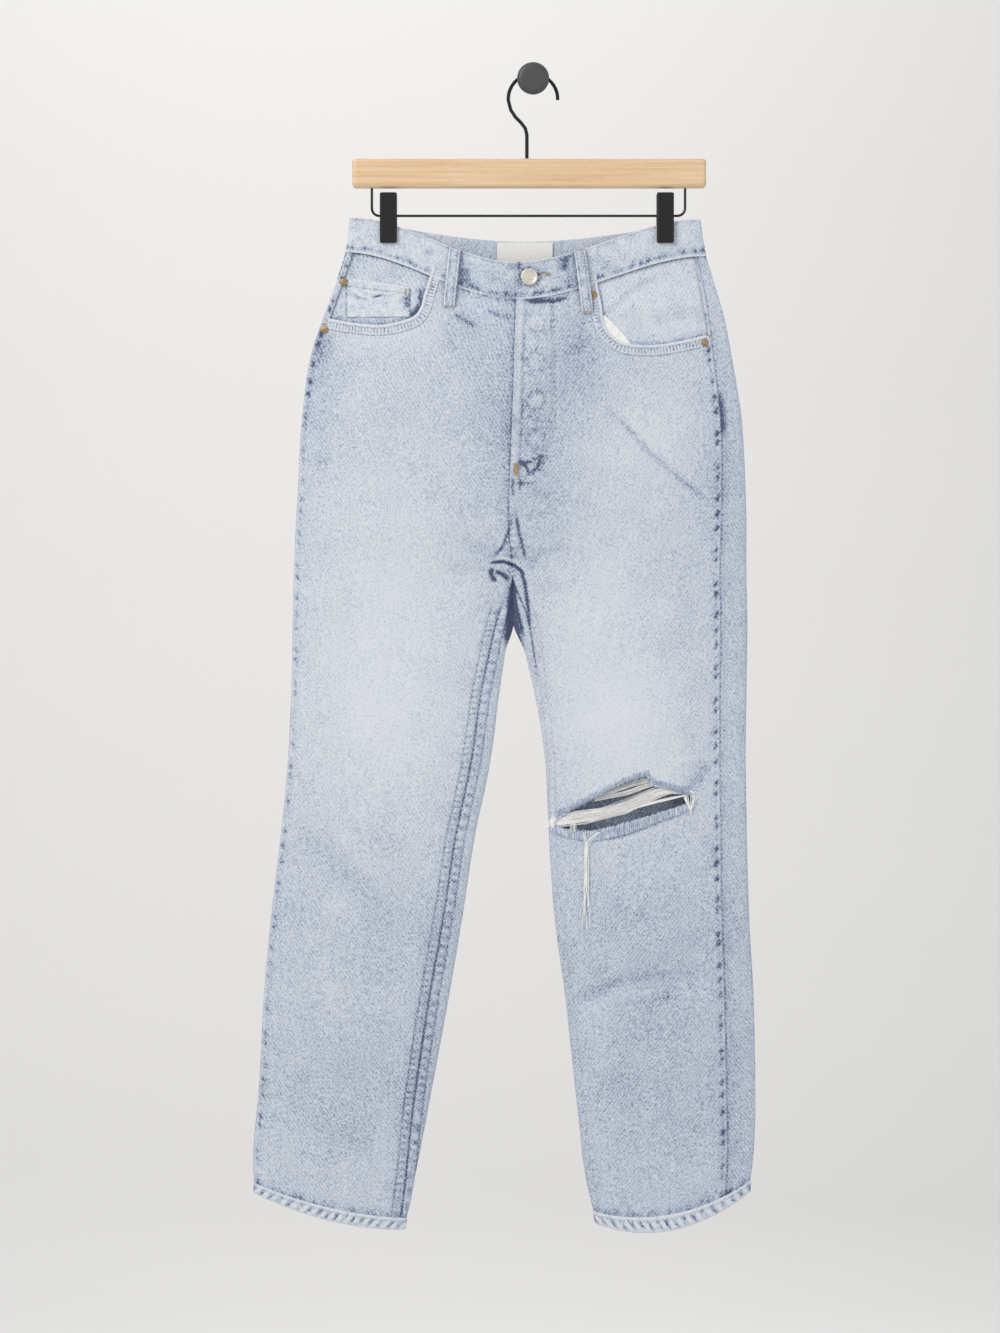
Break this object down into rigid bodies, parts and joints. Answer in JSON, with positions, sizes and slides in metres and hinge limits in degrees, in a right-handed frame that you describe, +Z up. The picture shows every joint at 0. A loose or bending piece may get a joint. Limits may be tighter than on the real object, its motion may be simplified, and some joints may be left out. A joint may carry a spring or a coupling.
{
  "type": "jeans on a clip hanger and wall peg",
  "caption": "Light-wash high-rise straight-leg jeans with a button fly and a ripped knee, hung flat by the waistband from a wooden clip hanger on a round wall peg.",
  "frame": {"origin": "middle of the wall peg's flat back face, which lies on the wall", "axes": "+Z up, +Y into the wall, +X to the viewer's right; the garment hangs in front of the wall at negative Y"},
  "size_m": [0.529, 0.044, 1.2284],
  "materials": {
    "denim": "light-wash cotton twill",
    "white_cotton": "undyed cotton",
    "woven_label": "woven, cream",
    "pale_brass": "pale, worn",
    "wood": "clear-lacquered pale wood",
    "dark_wire": "dark satin",
    "black_plastic": "moulded, matte",
    "charcoal_paint": "powder coat, satin"
  },
  "bodies": {
    "root": {"front_right": "denim", "front_left": "denim", "back_right": "denim", "back_left": "denim", "yoke_right": "denim", "yoke_left": "denim", "waistband": "denim", "pocket_facing_right": "denim", "pocket_facing_left": "denim", "coin_pocket": "denim", "pocket_bag_left": "white_cotton", "back_pocket_right": "denim", "back_pocket_left": "denim", "belt_loop_front_right": "denim", "belt_loop_front_left": "denim", "belt_loop_back_right": "denim", "belt_loop_back_left": "denim", "belt_loop_back_centre": "denim", "label": "woven_label", "waist_button": "pale_brass", "rivet_coin": "pale_brass", "rivet_pocket_right": "pale_brass", "rivet_pocket_left": "pale_brass", "rivet_fly_side": "pale_brass", "rip_wefts_main": "white_cotton", "rip_wefts_upper": "white_cotton", "rip_fringe": "denim", "rip_lip": "denim", "hanging_thread": "white_cotton", "hanger_bar": "wood", "hanger_hook": "dark_wire", "hanger_rail": "dark_wire", "clip_right": "black_plastic", "clip_left": "black_plastic", "wall_peg": "charcoal_paint"}
  },
  "joints": []
}
